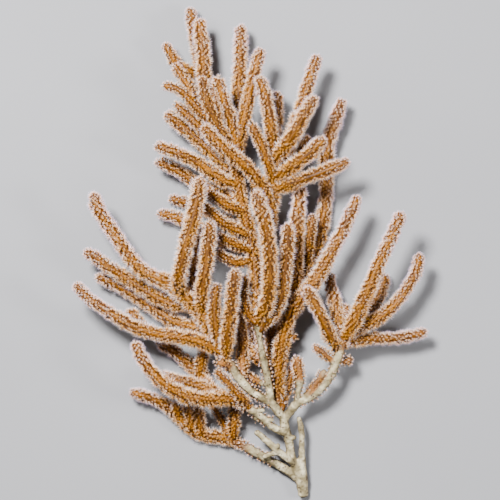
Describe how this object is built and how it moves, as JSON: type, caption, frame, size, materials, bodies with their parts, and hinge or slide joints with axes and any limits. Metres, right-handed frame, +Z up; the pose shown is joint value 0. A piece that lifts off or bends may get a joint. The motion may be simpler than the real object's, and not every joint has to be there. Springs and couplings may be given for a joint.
{
  "type": "sea fan",
  "caption": "Dried bushy sea fan, a branching soft coral: a bare pale stem forks into limbs and curved, polyp-coated fingers. It lies flat on its back.",
  "frame": {"origin": "the middle of the colony's outline, on the surface that it lies on", "axes": "+Y from the cut foot to the crown, +X to the right as the colony is seen from above, +Z up out of the surface"},
  "size_m": [0.2871, 0.3999, 0.0722],
  "materials": {
    "polyps": "matte orange tissue under a fuzz of pale, open polyps",
    "pale_stem": "matte, dry, cream bark with small knots"
  },
  "bodies": {
    "root": {"broken_fork": "pale_stem", "column": "polyps", "cross_riser": "polyps", "crown_back": "polyps", "crown_cross": "polyps", "crown_left": "polyps", "crown_left_high": "polyps", "crown_left_low": "polyps", "crown_middle": "polyps", "crown_short": "polyps", "crown_short_low": "polyps", "crown_side": "polyps", "crown_slim": "polyps", "crown_stripe_side": "polyps", "crown_tall": "polyps", "crown_tallest": "polyps", "fork_finger": "polyps", "fork_spur": "polyps", "hook": "polyps", "hook_back": "polyps", "hook_limb": "polyps", "hook_sprig": "polyps", "inner_left": "polyps", "left_fan": "polyps", "left_inner": "polyps", "left_limb": "polyps", "left_reach": "polyps", "low_curve": "polyps", "low_limb": "polyps", "low_long": "polyps", "low_reach": "polyps", "low_stripe": "polyps", "low_stripe_back": "polyps", "middle_limb": "pale_stem", "right_crown_stripe": "polyps", "right_fan_inner": "polyps", "right_fan_stripe": "polyps", "right_inner": "polyps", "right_limb": "polyps", "right_long": "polyps", "right_low": "polyps", "right_reach": "polyps", "right_rear": "polyps", "right_short": "polyps", "right_short_stripe": "polyps", "right_side_stripe": "polyps", "right_tall": "polyps", "right_trunk": "polyps", "right_upright": "polyps", "stem": "pale_stem", "stripe_centre": "polyps", "stripe_left": "polyps", "stripe_middle": "polyps", "stripe_right": "polyps", "trunk": "polyps"}
  },
  "joints": []
}
